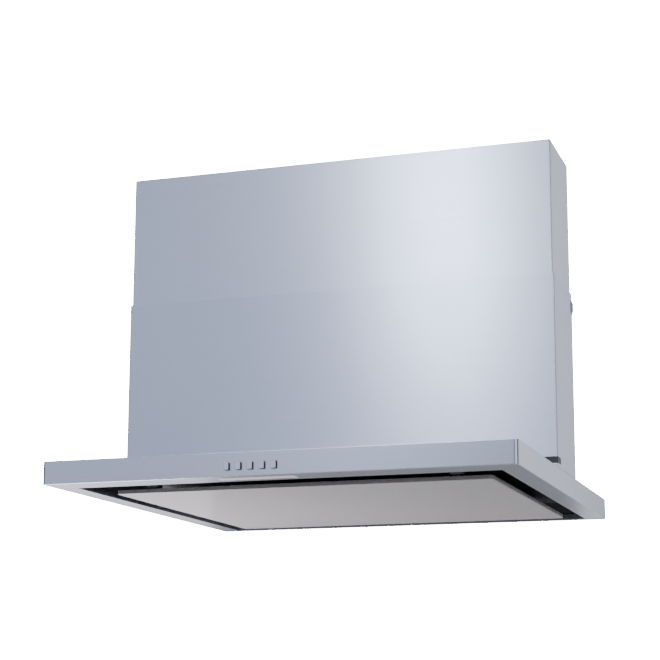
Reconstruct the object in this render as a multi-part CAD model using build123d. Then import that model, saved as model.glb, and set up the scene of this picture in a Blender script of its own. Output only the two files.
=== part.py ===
from build123d import *
import math
import os

# Ceiling-hung island range hood: a shallow canopy with a perimeter suction slot, a telescoping
# chimney as wide as the canopy, and inside it the hanging frame, blower, duct collar and controls.
#
# Frame: origin at the centre of the ceiling bolts, on the ceiling face. +Z up, the front with the
# buttons faces -Y, +X is to the right of a person who faces the buttons. Millimetres throughout.

# ---- Driving dimensions -------------------------------------------------------------------------

# Whole hood
WIDTH = 900.0
DEPTH = 900.0
HEIGHT = 700.0              # ceiling face to the canopy's lower edge
SHEET = 1.2                 # stainless sheet of the casing
FIT = 0.3                   # clearance of a piece that drops into an opening

# Canopy
CANOPY_HEIGHT = 44.0
CORNER_R = 8.0              # upright corners
FOLD_R = 1.0                # folded horizontal edges
FRONT_RIM = 65.0            # underside band in front of the suction mouth
SIDE_RIM = 42.0             # underside bands at the sides
BACK_RIM = 28.0             # underside band at the back
LIP_HEIGHT = 12.0           # upturned lip round the suction mouth
LINER_SHEET = 1.0
LINER_GAP = 4.0             # between the canopy's top sheet and the liner

# Throat between canopy and chimney
THROAT_ROOM = 68.0          # between the throat's opening and the struts
THROAT_DEPTH = 150.0
THROAT_RISE = 15.0          # throat frame above the canopy's top
THROAT_SHEET = 1.5
THROAT_LEDGE = 8.0          # ledge that carries the filters and the oil tray
THROAT_FLANGE = 12.0

# Filters and oil tray
FILTER_THICK = 9.0
FILTER_BORDER = 10.0
SLAT_WIDTH = 8.0
SLAT_PITCH = 12.0
SLAT_THICK = 1.5
TRAY_WIDTH = 40.0
TRAY_HEIGHT = 14.0
TRAY_WALL = 1.0

# Baffle panel and its hinge and latches
FRONT_SLOT = 88.0           # open slots round the panel
SIDE_SLOT = 38.0
BACK_SLOT = 50.0
PANEL_THICK = 8.0
PANEL_SHEET = 0.8
PANEL_DROP = 3.0            # panel's underside below the canopy's lower edge
PANEL_CORNER_R = 6.0
PANEL_EDGE_R = 2.0
BACKING_INSET = 2.0         # backing sheet's skirt inside the panel's upturned edge
HINGE_INSET = 70.0          # hinges in from the panel's sides
HINGE_SETBACK = 6.0         # hinge axis in front of the panel's rear edge
HINGE_RISE = 8.0            # hinge axis above the panel's top
HINGE_PIN_R = 2.5
HINGE_PIN_END = 1.5         # pin beyond the bracket's ears
KNUCKLE_R = 5.0
KNUCKLE_WIDTH = 16.0
LEAF_THICK = 2.0
LEAF_LENGTH = 28.0
EAR_THICK = 2.0
EAR_HALF = 6.0
LATCH_INSET = 70.0          # latches in from the panel's sides
LATCH_SETBACK = 20.0        # latches behind the panel's front edge
STUD_R = 3.0
STUD_HEAD_R = 4.5
STUD_HEIGHT = 10.0
STUD_HEAD_HEIGHT = 3.0
CATCH_SIZE = 22.0
CATCH_CLEAR = 0.8

# Chimney covers
CHIMNEY_DEPTH = 188.0
SEAM_HEIGHT = 423.0         # top of the lower cover above the canopy's lower edge
COVER_INSET = 3.0           # upper cover inside the lower one
COVER_OVERLAP = 20.0
CEILING_GAP = 4.0           # upper cover's top below the ceiling
COVER_FOLD_R = 2.0
COVER_RETURN = 15.0         # folded returns at the back, which hold the rear panels
COVER_SCREW_R = 2.0
COVER_SCREW_HEAD_R = 4.0
COVER_SCREW_HEAD = 2.0
COVER_SCREW_LEVELS = (90.0, 230.0, 340.0)

# Dark corner clips at the foot of the lower cover, and catches at its rear edges
CLIP_FRONT = 33.0           # leg across the front
CLIP_SIDE = 30.0            # leg along the side
CLIP_LEVEL = 7.0            # lower edge above the canopy's top
CLIP_HEIGHT = 13.0
CLIP_BORDER = 3.0           # flange behind the sheet, round the window
CLIP_THICK = 1.6
CATCH_PLATE_PROUD = 3.0
CATCH_PLATE_DEPTH = 14.0
CATCH_PLATE_HEIGHT = 28.0
CATCH_PLATE_LEVEL = 380.0

# Hanging frame
BOLT_REACH = 52.0           # ceiling bolts outside the struts' inner faces
BOLT_SPACING_Y = 100.0
BOLT_HOLE_R = 5.5
CEILING_PLATE = 3.0
CEILING_PLATE_WIDTH = 120.0
CEILING_RAIL_HEIGHT = 25.0
CEILING_RAIL_THICK = 2.0
CEILING_RAIL_CLEAR = 1.5    # between a rail and the duct
STRUT_SHEET = 2.0
STRUT_FLANGE = 25.0
STRUT_WIDTH = 130.0
STRUT_HEIGHT = 385.0        # lower strut
STRUT_LAP = 150.0           # lower and upper strut side by side
STRUT_CLEAR = 0.2
FOOT_THICK = 3.0
FOOT_REACH = 40.0
STRUT_BOLT_R = 3.0
STRUT_BOLT_HOLE_R = 3.3
STRUT_BOLT_HEAD_R = 5.5
STRUT_BOLT_HEAD = 4.0
STRUT_BOLT_Y = 40.0
STRUT_BOLT_DROPS = (30.0, 110.0)    # below the lower strut's top
STRUT_SLOT = 40.0           # height of the adjusting slots

# Blower
FAN_LEVEL = 215.0           # fan axis above the canopy's lower edge
WHEEL_R = 106.0
WHEEL_EYE_R = 86.0          # inner edge of the blades
WHEEL_WIDTH = 76.0
WHEEL_RING = 1.5
WHEEL_DISC = 1.5
BLADE_COUNT = 36
BLADE_THICK = 1.0
BLADE_SWEEP = 9.0           # degrees from a blade's inner to its outer edge
BLADE_BOW = 3.0
HUB_R = 14.0
HUB_LENGTH = 16.0
SHAFT_R = 4.0
SHAFT_RUNNING = 0.05
NUT_R = 7.5
NUT_LENGTH = 4.0
SCROLL_CLEAR = 15.0         # wheel to scroll at the tongue
SCROLL_GROWTH = 16.0        # added to the radius at each quarter turn
SCROLL_WIDTH = 90.0
SCROLL_FLANGE = 8.0
TONGUE_ANGLE = 60.0
INLET_R = 78.0
INLET_LIP = 5.0
OUTLET_RISE = 150.0         # scroll outlet above the fan axis
MOTOR_R = 42.0
MOTOR_FRONT = 62.0          # motor's front face in front of the wheel's middle
MOTOR_BACK = 10.0           # motor's rear face in front of the wheel's middle
MOTOR_FLANGE_R = 50.0
MOTOR_FLANGE = 3.0
BRACKET_THICK = 3.0
BRACKET_RING_R = 92.0
BRACKET_RING = 8.0
BRACKET_ARM = 12.0
BLOWER_RAIL_HEIGHT = 20.0
BLOWER_RAIL_THICK = 3.0
RAIL_FOOT = 2.0
RAIL_FOOT_INSET = 1.0       # foot's edge inside the strut's edge

# Duct
DUCT_R = 75.0               # outside of the 150 mm collar
DUCT_SHEET = 1.2
ADAPTOR_HEIGHT = 60.0
COLLAR_HEIGHT = 90.0
SHOULDER = 2.0              # thicker foot of the collar, where the duct's end stops
SHOULDER_HEIGHT = 30.0
DAMPER_LEVEL = 18.0         # damper shaft above the collar's foot
FLAP_THICK = 2.0
FLAP_CLEAR = 1.3
DAMPER_SHAFT_R = 3.0
DAMPER_SHAFT_END = 3.0      # shaft beyond the collar's foot
FLAP_BOSS_R = 5.0

# Control box
BOX_ROOM = 27.0             # between the box and the outside of the lower cover
BOX_WIDTH = 100.0
BOX_DEPTH = 90.0
BOX_HEIGHT = 130.0
BOX_LEVEL = 60.0            # foot of the box above the canopy's lower edge
BOX_WALL = 1.5
BOARD_THICK = 1.6
BOARD_MARGIN = 6.0
STANDOFF_R = 3.0
STANDOFF = 7.0
CAPACITOR_R = 16.0
CAPACITOR_LENGTH = 58.0
GLAND_R = 9.0
GLAND_BORE_R = 5.0
GLAND_HOLE_R = 6.0          # hole for it in the box
GLAND_LENGTH = 20.0
GLAND_HEX_R = 13.0
GLAND_HEX = 5.0

# Push buttons
BUTTON_COUNT = 5
BUTTON_WIDTH = 10.0
BUTTON_HEIGHT = 14.0
BUTTON_PITCH = 22.5
BUTTON_ROW_X = -35.5        # middle of the row
BUTTON_LEVEL = 18.5         # middle of the buttons above the canopy's lower edge
BUTTON_PROUD = 5.0
BUTTON_GAP = 0.8            # round the cap in the front wall
BUTTON_TRAVEL = 2.0
BUTTON_CORNER_R = 1.5
BUTTON_LENGTH = 13.0
BUTTON_FLANGE = 1.8         # flange beyond the cap, behind the wall
BUTTON_FLANGE_THICK = 1.0
BUTTON_STEM_R = 2.0
BUTTON_STEM = 3.5
HOUSING_HEIGHT = 24.0
HOUSING_END = 10.0          # housing beyond the outer buttons' middles, past half a pitch
HOUSING_FACE = 7.5
HOUSING_WALL = 2.0
SWITCH_BODY = 6.0
SWITCH_HEIGHT = 3.5
SWITCH_BOARD = 1.6

# Lamp
LAMP_LENGTH = 150.0
LAMP_WIDTH = 30.0
LAMP_SETBACK = 20.0         # lens behind the front face
LENS_THICK = 2.2
LENS_BORDER = 3.0
LENS_FLANGE = 1.2
MODULE_HEIGHT = 11.0

# ---- Levels and edges worked out from them ------------------------------------------------------

BASE = -HEIGHT
CANOPY_TOP = BASE + CANOPY_HEIGHT
SEAM = BASE + SEAM_HEIGHT
FRONT = -DEPTH / 2
BACK = DEPTH / 2
RIM_TOP = BASE + SHEET
LINER_TOP = CANOPY_TOP - SHEET - LINER_GAP
LINER_UNDER = LINER_TOP - LINER_SHEET

MOUTH_X = WIDTH / 2 - SIDE_RIM
MOUTH_FRONT = FRONT + FRONT_RIM
MOUTH_BACK = BACK - BACK_RIM

PANEL_X = MOUTH_X - SIDE_SLOT
PANEL_FRONT = MOUTH_FRONT + FRONT_SLOT
PANEL_BACK = MOUTH_BACK - BACK_SLOT
PANEL_UNDER = BASE - PANEL_DROP
PANEL_TOP = PANEL_UNDER + PANEL_THICK
HINGE_Y = PANEL_BACK - HINGE_SETBACK
HINGE_Z = PANEL_TOP + HINGE_RISE
HINGE_X = PANEL_X - HINGE_INSET
LATCH_X = PANEL_X - LATCH_INSET
LATCH_Y = PANEL_FRONT + LATCH_SETBACK

LOWER_X = WIDTH / 2
LOWER_Y = CHIMNEY_DEPTH / 2
UPPER_X = LOWER_X - COVER_INSET
UPPER_Y = LOWER_Y - COVER_INSET
COVER_TOP = -CEILING_GAP
UPPER_FOOT = SEAM - COVER_OVERLAP

STRUT_X = LOWER_X - BOX_ROOM - BOX_WIDTH - STRUT_FLANGE    # inner face of the lower strut's web
STRUT_TOP = CANOPY_TOP + STRUT_HEIGHT
PLATE_MID_X = STRUT_X + BOLT_REACH
RAIL_INNER_Y = DUCT_R + CEILING_RAIL_CLEAR

THROAT_X = STRUT_X - THROAT_ROOM        # half the throat's opening
LEDGE_TOP = LINER_UNDER + THROAT_SHEET
FRAME_X = THROAT_X - FIT - THROAT_SHEET
FRAME_Y = THROAT_DEPTH / 2 - FIT - THROAT_SHEET

WHEEL_HALF = WHEEL_WIDTH / 2
SCROLL_HALF = SCROLL_WIDTH / 2
PLATE_OUTER_Y = SCROLL_HALF + SHEET
R_FIRST = WHEEL_R + SCROLL_CLEAR
R_SECOND = R_FIRST + SCROLL_GROWTH
R_THIRD = R_SECOND + SCROLL_GROWTH
TONGUE_DX = R_FIRST * math.cos(math.radians(TONGUE_ANGLE))
TONGUE_DZ = R_FIRST * math.sin(math.radians(TONGUE_ANGLE))
FAN_X = (R_THIRD - TONGUE_DX) / 2       # puts the scroll's outlet on the collar's axis
FAN_Z = BASE + FAN_LEVEL
OUTLET_Z = FAN_Z + OUTLET_RISE
OUTLET_X = (R_THIRD + SCROLL_GROWTH + TONGUE_DX) / 2
COLLAR_FOOT = OUTLET_Z + ADAPTOR_HEIGHT
DAMPER_Z = COLLAR_FOOT + DAMPER_LEVEL

BUTTON_Z = BASE + BUTTON_LEVEL
WALL_INNER_Y = FRONT + SHEET
BUTTON_BACK_Y = FRONT - BUTTON_PROUD + BUTTON_LENGTH
STEM_END_Y = BUTTON_BACK_Y + BUTTON_STEM
SWITCH_Y = STEM_END_Y + BUTTON_TRAVEL + FIT
BOARD_Y = SWITCH_Y + SWITCH_HEIGHT

LAMP_Y = FRONT + LAMP_SETBACK + LAMP_WIDTH / 2


# ---- Shape helpers ------------------------------------------------------------------------------

def block(x0, x1, y0, y1, z0, z1):
    """Rectangular block between two corners."""
    return Pos((x0 + x1) / 2, (y0 + y1) / 2, (z0 + z1) / 2) * Box(x1 - x0, y1 - y0, z1 - z0)


def slab(sketch, z0, z1):
    """Outline drawn in X and Y, raised between two levels."""
    return extrude(Pos(0, 0, z0) * sketch, amount=z1 - z0)


def slab_y(sketch, y0, y1):
    """Outline drawn in X and Z, run from one depth to another."""
    return extrude(Plane.XZ.offset(-y1) * sketch, amount=y1 - y0)


def rod_x(radius, x0, x1, y, z):
    """Round bar along X."""
    return Pos((x0 + x1) / 2, y, z) * Rot(0, 90, 0) * Cylinder(radius, x1 - x0)


def rod_z(radius, x, y, z0, z1):
    """Round bar along Z."""
    return Pos(x, y, (z0 + z1) / 2) * Cylinder(radius, z1 - z0)


def sided(side, x0, x1, y0, y1, z0, z1):
    """Block given for the right side, or its twin on the left when side is -1."""
    low, high = sorted((side * x0, side * x1))
    return block(low, high, y0, y1, z0, z1)


# ---- Canopy -------------------------------------------------------------------------------------

def mouth(grow, z0, z1):
    """Rectangle of the suction mouth, grown outwards on all four sides."""
    return block(-MOUTH_X - grow, MOUTH_X + grow, MOUTH_FRONT - grow, MOUTH_BACK + grow, z0, z1)


def throat(z0, z1):
    """Rectangle cut through the canopy and the liner for the throat frame."""
    return block(-THROAT_X, THROAT_X, -THROAT_DEPTH / 2, THROAT_DEPTH / 2, z0, z1)


def button_places():
    """X of each button's middle, left to right."""
    first = BUTTON_ROW_X - (BUTTON_COUNT - 1) * BUTTON_PITCH / 2
    return [first + i * BUTTON_PITCH for i in range(BUTTON_COUNT)]


def button_bar(x, grow, y0, y1):
    """Oblong bar with rounded corners along Y at a button's place: the cap, grown all round."""
    outline = RectangleRounded(BUTTON_WIDTH + 2 * grow, BUTTON_HEIGHT + 2 * grow, BUTTON_CORNER_R)
    return slab_y(Pos(x, BUTTON_Z) * outline, y0, y1)


def lamp_window(grow, z0, z1):
    """Rectangle of the lamp, grown outwards."""
    outline = RectangleRounded(LAMP_LENGTH + 2 * grow, LAMP_WIDTH + 2 * grow, LENS_BORDER)
    return slab(Pos(BUTTON_ROW_X, LAMP_Y) * outline, z0, z1)


def canopy_shell():
    """Folded casing: top, four sides and a rim below, with an upturned lip round the mouth."""
    outer = slab(RectangleRounded(WIDTH, DEPTH, CORNER_R), BASE, CANOPY_TOP)
    outer = fillet(outer.faces().sort_by(Axis.Z)[-1].edges(), FOLD_R)
    outer = fillet(outer.faces().sort_by(Axis.Z)[0].edges(), FOLD_R)
    hollow = RectangleRounded(WIDTH - 2 * SHEET, DEPTH - 2 * SHEET, CORNER_R - SHEET)
    shell = outer - slab(hollow, RIM_TOP, CANOPY_TOP - SHEET)
    shell += mouth(SHEET, BASE, BASE + LIP_HEIGHT)
    shell -= mouth(0, BASE - SHEET, BASE + LIP_HEIGHT + SHEET)
    shell -= throat(CANOPY_TOP - 2 * SHEET, CANOPY_TOP + SHEET)
    for x in button_places():
        shell -= button_bar(x, BUTTON_GAP, FRONT - SHEET, FRONT + 2 * SHEET)
    return shell - lamp_window(FIT, BASE - SHEET, BASE + 2 * SHEET)


def plenum_liner():
    """Inverted tray that lines the suction space; its skirt stands on the rim outside the lip."""
    gap = SHEET + FIT
    tray = mouth(gap + LINER_SHEET, RIM_TOP, LINER_TOP) - mouth(gap, RIM_TOP - SHEET, LINER_UNDER)
    return tray - throat(LINER_UNDER - SHEET, LINER_TOP + SHEET)


def throat_frame():
    """Rectangular collar in the throat: a flange on the canopy's top, a ledge for the filters."""
    outer_x = THROAT_X - FIT
    outer_y = THROAT_DEPTH / 2 - FIT
    top = CANOPY_TOP + THROAT_RISE
    tube = block(-outer_x, outer_x, -outer_y, outer_y, LINER_UNDER, top)
    tube += block(
        -outer_x - THROAT_FLANGE, outer_x + THROAT_FLANGE,
        -outer_y - THROAT_FLANGE, outer_y + THROAT_FLANGE,
        CANOPY_TOP, CANOPY_TOP + THROAT_SHEET,
    )
    tube -= block(-FRAME_X, FRAME_X, -FRAME_Y, FRAME_Y, LEDGE_TOP, top + SHEET)
    open_x = FRAME_X - THROAT_LEDGE
    open_y = FRAME_Y - THROAT_LEDGE
    return tube - block(-open_x, open_x, -open_y, open_y, LINER_UNDER - SHEET, top)


def grease_filter(side):
    """Baffle filter: a border with two rows of staggered slats between its faces."""
    inner = TRAY_WIDTH / 2 + FIT
    outer = FRAME_X - FIT
    half_y = FRAME_Y - FIT
    top = LEDGE_TOP + FILTER_THICK
    body = sided(side, inner, outer, -half_y, half_y, LEDGE_TOP, top)
    left = inner + FILTER_BORDER
    right = outer - FILTER_BORDER
    reach = half_y - FILTER_BORDER
    body -= sided(side, left, right, -reach, reach, LEDGE_TOP - SHEET, top + SHEET)
    count = int((right - left) // SLAT_PITCH)
    start = left + (right - left - count * SLAT_PITCH) / 2
    for i in range(count):
        x = start + i * SLAT_PITCH
        low = LEDGE_TOP + SLAT_THICK
        high = top - SLAT_THICK
        body += sided(side, x, x + SLAT_WIDTH, -reach, reach, low, low + SLAT_THICK)
        shifted = x + SLAT_PITCH / 2
        if shifted + SLAT_WIDTH < right:
            body += sided(side, shifted, shifted + SLAT_WIDTH, -reach, reach, high - SLAT_THICK, high)
    return body


def oil_tray():
    """Open trough between the filters, under the blower's lowest point."""
    half_x = TRAY_WIDTH / 2
    half_y = FRAME_Y - FIT
    top = LEDGE_TOP + TRAY_HEIGHT
    tray = block(-half_x, half_x, -half_y, half_y, LEDGE_TOP, top)
    return tray - block(
        TRAY_WALL - half_x, half_x - TRAY_WALL, TRAY_WALL - half_y, half_y - TRAY_WALL,
        LEDGE_TOP + TRAY_WALL, top + SHEET,
    )


# ---- Baffle panel -------------------------------------------------------------------------------

def panel_outline(inset):
    """Panel's rounded outline, drawn in by an inset."""
    outline = RectangleRounded(
        2 * (PANEL_X - inset), PANEL_BACK - PANEL_FRONT - 2 * inset, PANEL_CORNER_R - inset
    )
    return Pos(0, (PANEL_FRONT + PANEL_BACK) / 2) * outline


def baffle_panel():
    """Shallow tray that hangs under the mouth, smooth side down."""
    tray = slab(panel_outline(0), PANEL_UNDER, PANEL_TOP)
    tray = fillet(tray.faces().sort_by(Axis.Z)[0].edges(), PANEL_EDGE_R)
    return tray - slab(panel_outline(PANEL_SHEET), PANEL_UNDER + PANEL_SHEET, PANEL_TOP + SHEET)


def baffle_backing():
    """Inverted tray inside the panel that closes it and carries the hinges and studs."""
    inset = PANEL_SHEET + BACKING_INSET
    tray = slab(panel_outline(inset), PANEL_UNDER + PANEL_SHEET, PANEL_TOP)
    return tray - slab(panel_outline(inset + PANEL_SHEET), PANEL_UNDER, PANEL_TOP - PANEL_SHEET)


def hinge_leaf(side):
    """Leaf on the backing sheet with the knuckle that holds the pin."""
    x = side * HINGE_X
    x0 = x - KNUCKLE_WIDTH / 2
    x1 = x + KNUCKLE_WIDTH / 2
    leaf = block(x0, x1, HINGE_Y - LEAF_LENGTH + EAR_HALF, HINGE_Y, PANEL_TOP, PANEL_TOP + LEAF_THICK)
    leaf += block(x0, x1, HINGE_Y - HINGE_PIN_R, HINGE_Y + HINGE_PIN_R, PANEL_TOP, HINGE_Z)
    leaf += rod_x(KNUCKLE_R, x0, x1, HINGE_Y, HINGE_Z)
    return leaf - rod_x(HINGE_PIN_R, x0 - SHEET, x1 + SHEET, HINGE_Y, HINGE_Z)


def hinge_pins():
    """Two pins, one through each knuckle, ending beyond the bracket's ears."""
    reach = KNUCKLE_WIDTH / 2 + 2 * FIT + EAR_THICK + HINGE_PIN_END
    return [rod_x(HINGE_PIN_R, s * HINGE_X - reach, s * HINGE_X + reach, HINGE_Y, HINGE_Z) for s in (-1, 1)]


def hinge_bracket(side):
    """Two ears that hang from the liner on a small base and carry the pin."""
    x = side * HINGE_X
    gap = KNUCKLE_WIDTH / 2 + 2 * FIT
    outer = gap + EAR_THICK
    body = block(x - outer, x + outer, HINGE_Y - EAR_HALF, HINGE_Y + EAR_HALF, HINGE_Z, LINER_UNDER)
    body += rod_x(EAR_HALF, x - outer, x + outer, HINGE_Y, HINGE_Z)
    body -= block(
        x - gap, x + gap, HINGE_Y - 2 * EAR_HALF, HINGE_Y + 2 * EAR_HALF,
        HINGE_Z - 2 * EAR_HALF, LINER_UNDER - EAR_THICK,
    )
    hole_r = HINGE_PIN_R + SHAFT_RUNNING
    return body - rod_x(hole_r, x - outer - SHEET, x + outer + SHEET, HINGE_Y, HINGE_Z)


def latch_studs():
    """Two mushroom studs on the backing sheet, near the panel's front edge."""
    studs = []
    for x in (-LATCH_X, LATCH_X):
        top = PANEL_TOP + STUD_HEIGHT
        stud = rod_z(STUD_R, x, LATCH_Y, PANEL_TOP, top)
        studs.append(stud + rod_z(STUD_HEAD_R, x, LATCH_Y, top - STUD_HEAD_HEIGHT, top))
    return studs


def latch_catch(side):
    """Block under the liner with a blind hole that grips a stud's head."""
    x = side * LATCH_X
    half = CATCH_SIZE / 2
    foot = PANEL_TOP + STUD_HEIGHT / 2
    hole_top = PANEL_TOP + STUD_HEIGHT + CATCH_CLEAR
    body = block(x - half, x + half, LATCH_Y - half, LATCH_Y + half, foot, LINER_UNDER)
    return body - rod_z(STUD_HEAD_R + CATCH_CLEAR, x, LATCH_Y, foot - SHEET, hole_top)


# ---- Chimney covers -----------------------------------------------------------------------------

def cover(half_x, half_y, z0, z1):
    """Folded cover: front, two sides and narrow returns at the back."""
    outer = slab(RectangleRounded(2 * half_x, 2 * half_y, COVER_FOLD_R), z0, z1)
    inside = RectangleRounded(2 * (half_x - SHEET), 2 * (half_y - SHEET), COVER_FOLD_R - SHEET)
    body = outer - slab(inside, z0 - SHEET, z1 + SHEET)
    open_x = half_x - SHEET - COVER_RETURN
    return body - block(-open_x, open_x, 0, half_y + SHEET, z0 - SHEET, z1 + SHEET)


def rear_panel(half_x, half_y, z0, z1):
    """Flat sheet behind the returns of a cover."""
    reach = half_x - COVER_FOLD_R - FIT
    back = half_y - SHEET
    return block(-reach, reach, back - SHEET, back, z0, z1)


def screw_places():
    """X and Z of the screws that hold the lower rear panel."""
    x = LOWER_X - SHEET - COVER_RETURN / 2
    return [(s * x, BASE + level) for s in (-1, 1) for level in COVER_SCREW_LEVELS]


def screw_holes():
    """Round bars where the screws pass through the return and the panel."""
    hole = Circle(COVER_SCREW_R)
    back = LOWER_Y + SHEET
    return [slab_y(Pos(x, z) * hole, back - 4 * SHEET, back) for x, z in screw_places()]


def clip_window(grow, inner, outer):
    """Corner window outlines on both sides: an L that runs round the cover's front corner."""
    pieces = []
    z0 = CANOPY_TOP + CLIP_LEVEL - grow
    z1 = CANOPY_TOP + CLIP_LEVEL + CLIP_HEIGHT + grow
    for side in (-1, 1):
        x0 = LOWER_X - CLIP_FRONT - grow
        y1 = -LOWER_Y + CLIP_SIDE + grow
        whole = sided(side, x0, LOWER_X - outer, -LOWER_Y + outer, y1, z0, z1)
        keep = sided(side, x0 - SHEET, LOWER_X - inner, -LOWER_Y + inner, y1 + SHEET, z0 - 1, z1 + 1)
        pieces.append(whole - keep)
    return pieces


def lower_cover():
    """Outer cover, standing on the canopy, with a window for the clip in each front corner."""
    body = cover(LOWER_X, LOWER_Y, CANOPY_TOP, SEAM)
    for window in clip_window(0, SHEET + CLIP_THICK, -SHEET):
        body -= window
    for hole in screw_holes():
        body -= hole
    return body


def lower_rear_panel():
    """Rear sheet of the outer cover."""
    body = rear_panel(LOWER_X, LOWER_Y, CANOPY_TOP, SEAM)
    for hole in screw_holes():
        body -= hole
    return body


def lower_panel_screws():
    """Pan-head screws that hold the rear sheet to the returns."""
    screws = []
    for x, z in screw_places():
        shank = slab_y(Pos(x, z) * Circle(COVER_SCREW_R), LOWER_Y - 2 * SHEET, LOWER_Y)
        head = slab_y(Pos(x, z) * Circle(COVER_SCREW_HEAD_R), LOWER_Y, LOWER_Y + COVER_SCREW_HEAD)
        screws.append(shank + head)
    return screws


def upper_cover():
    """Inner cover, which slides down inside the outer one."""
    return cover(UPPER_X, UPPER_Y, UPPER_FOOT, COVER_TOP)


def upper_rear_panel():
    """Rear sheet of the inner cover."""
    return rear_panel(UPPER_X, UPPER_Y, UPPER_FOOT, COVER_TOP)


def round_corner(piece, radius):
    """Round the upright edge of an L that lies at the cover's front corner."""
    uprights = piece.edges().filter_by(Axis.Z)
    return fillet(max(uprights, key=lambda edge: abs(edge.center().X) - edge.center().Y), radius)


def corner_clips():
    """Left and right dark clips: an L in the window with a wider flange behind the sheet."""
    fills = [round_corner(fill, COVER_FOLD_R - FIT) for fill in clip_window(-FIT, SHEET, FIT)]
    backs = clip_window(CLIP_BORDER, SHEET + CLIP_THICK, SHEET)
    backs = [round_corner(back, COVER_FOLD_R - SHEET) for back in backs]
    return [fill + back for fill, back in zip(fills, backs)]


def side_catch(side):
    """Small pressed plate on the cover's side, over its rear edge, with a raised middle."""
    z0 = BASE + CATCH_PLATE_LEVEL
    z1 = z0 + CATCH_PLATE_HEIGHT
    y1 = LOWER_Y - COVER_FOLD_R
    y0 = y1 - CATCH_PLATE_DEPTH
    plate = sided(side, LOWER_X, LOWER_X + SHEET, y0, y1, z0, z1)
    third = CATCH_PLATE_DEPTH / 3
    raised = sided(side, LOWER_X, LOWER_X + CATCH_PLATE_PROUD, y0 + third, y1, z0 + third, z1 - third)
    return plate + raised


# ---- Hanging frame ------------------------------------------------------------------------------

def ceiling_frame():
    """Two bolted plates joined by upright rails that pass either side of the duct."""
    half = CEILING_PLATE_WIDTH / 2
    rail_x = PLATE_MID_X + half
    outer_y = RAIL_INNER_Y + CEILING_RAIL_THICK
    body = block(-rail_x, rail_x, -outer_y, outer_y, -CEILING_RAIL_HEIGHT, 0)
    body -= block(-rail_x - 1, rail_x + 1, -RAIL_INNER_Y, RAIL_INNER_Y, -CEILING_RAIL_HEIGHT - 1, 1)
    for side in (-1, 1):
        x0 = STRUT_X
        body += sided(side, x0, rail_x, -outer_y, outer_y, -CEILING_PLATE, 0)
        for y in (-BOLT_SPACING_Y / 2, BOLT_SPACING_Y / 2):
            body -= rod_z(BOLT_HOLE_R, side * PLATE_MID_X, y, -2 * CEILING_PLATE, CEILING_PLATE)
    return body


def channel(side, inner_x, half_y, flange, z0, z1):
    """Upright channel whose web faces the blower and whose flanges point outwards."""
    body = sided(side, inner_x, inner_x + flange, -half_y, half_y, z0, z1)
    return body - sided(
        side, inner_x + STRUT_SHEET, inner_x + flange + 1,
        STRUT_SHEET - half_y, half_y - STRUT_SHEET, z0 - 1, z1 + 1,
    )


def strut_bolt_places():
    """Y and Z of the bolts that join a lower strut to its upper strut."""
    return [(y, STRUT_TOP - drop) for y in (-STRUT_BOLT_Y, STRUT_BOLT_Y) for drop in STRUT_BOLT_DROPS]


def lower_strut(side):
    """Channel that stands on the canopy's top on a flat foot, with adjusting slots."""
    half_y = STRUT_WIDTH / 2
    body = channel(side, STRUT_X, half_y, STRUT_FLANGE, CANOPY_TOP, STRUT_TOP)
    body += sided(side, STRUT_X, STRUT_X + FOOT_REACH, -half_y, half_y, CANOPY_TOP, CANOPY_TOP + FOOT_THICK)
    for y, z in strut_bolt_places():
        half = STRUT_SLOT / 2 - STRUT_BOLT_HOLE_R
        web = (STRUT_X - 1, STRUT_X + STRUT_SHEET + 1)
        body -= sided(side, *web, y - STRUT_BOLT_HOLE_R, y + STRUT_BOLT_HOLE_R, z - half, z + half)
        for end in (z - half, z + half):
            body -= rod_x(STRUT_BOLT_HOLE_R, *sorted((side * web[0], side * web[1])), y, end)
    return body


def upper_strut(side):
    """Channel that nests in the lower one and hangs from the ceiling frame."""
    half_y = STRUT_WIDTH / 2 - STRUT_SHEET - STRUT_CLEAR
    inner_x = STRUT_X + STRUT_SHEET
    foot = STRUT_TOP - STRUT_LAP
    body = channel(side, inner_x, half_y, STRUT_FLANGE - STRUT_SHEET, foot, -CEILING_PLATE)
    for y, z in strut_bolt_places():
        ends = sorted((side * (inner_x - 1), side * (inner_x + STRUT_SHEET + 1)))
        body -= rod_x(STRUT_BOLT_HOLE_R, *ends, y, z)
    return body


def strut_bolts():
    """Bolts with their nuts, through both webs on each side."""
    bolts = []
    for side in (-1, 1):
        face = STRUT_X
        back = STRUT_X + 2 * STRUT_SHEET
        for y, z in strut_bolt_places():
            spans = (
                (STRUT_BOLT_HEAD_R, face - STRUT_BOLT_HEAD, face),
                (STRUT_BOLT_R, face, back),
                (STRUT_BOLT_HEAD_R, back, back + STRUT_BOLT_HEAD),
                (STRUT_BOLT_R, back + STRUT_BOLT_HEAD, back + 2 * STRUT_BOLT_HEAD),
            )
            rods = [rod_x(r, *sorted((side * a, side * b)), y, z) for r, a, b in spans]
            bolts.append(rods[0] + rods[1] + rods[2] + rods[3])
    return bolts


# ---- Blower -------------------------------------------------------------------------------------

def scroll_outline():
    """Inside of the scroll: three tangent arcs that grow by quarters, open at the top."""
    half = SCROLL_GROWTH / 2
    low = FAN_Z - half
    tongue = (FAN_X + half + TONGUE_DX, low + TONGUE_DZ)
    left_x = FAN_X - half - R_THIRD
    path = [
        Line((tongue[0], OUTLET_Z), tongue),
        CenterArc((FAN_X + half, low), R_FIRST, TONGUE_ANGLE, -TONGUE_ANGLE),
        CenterArc((FAN_X - half, low), R_SECOND, 0, -90),
        CenterArc((FAN_X - half, FAN_Z + half), R_THIRD, -90, -90),
        Line((left_x, FAN_Z + half), (left_x, OUTLET_Z)),
        Line((left_x, OUTLET_Z), (tongue[0], OUTLET_Z)),
    ]
    return make_face(path)


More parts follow.
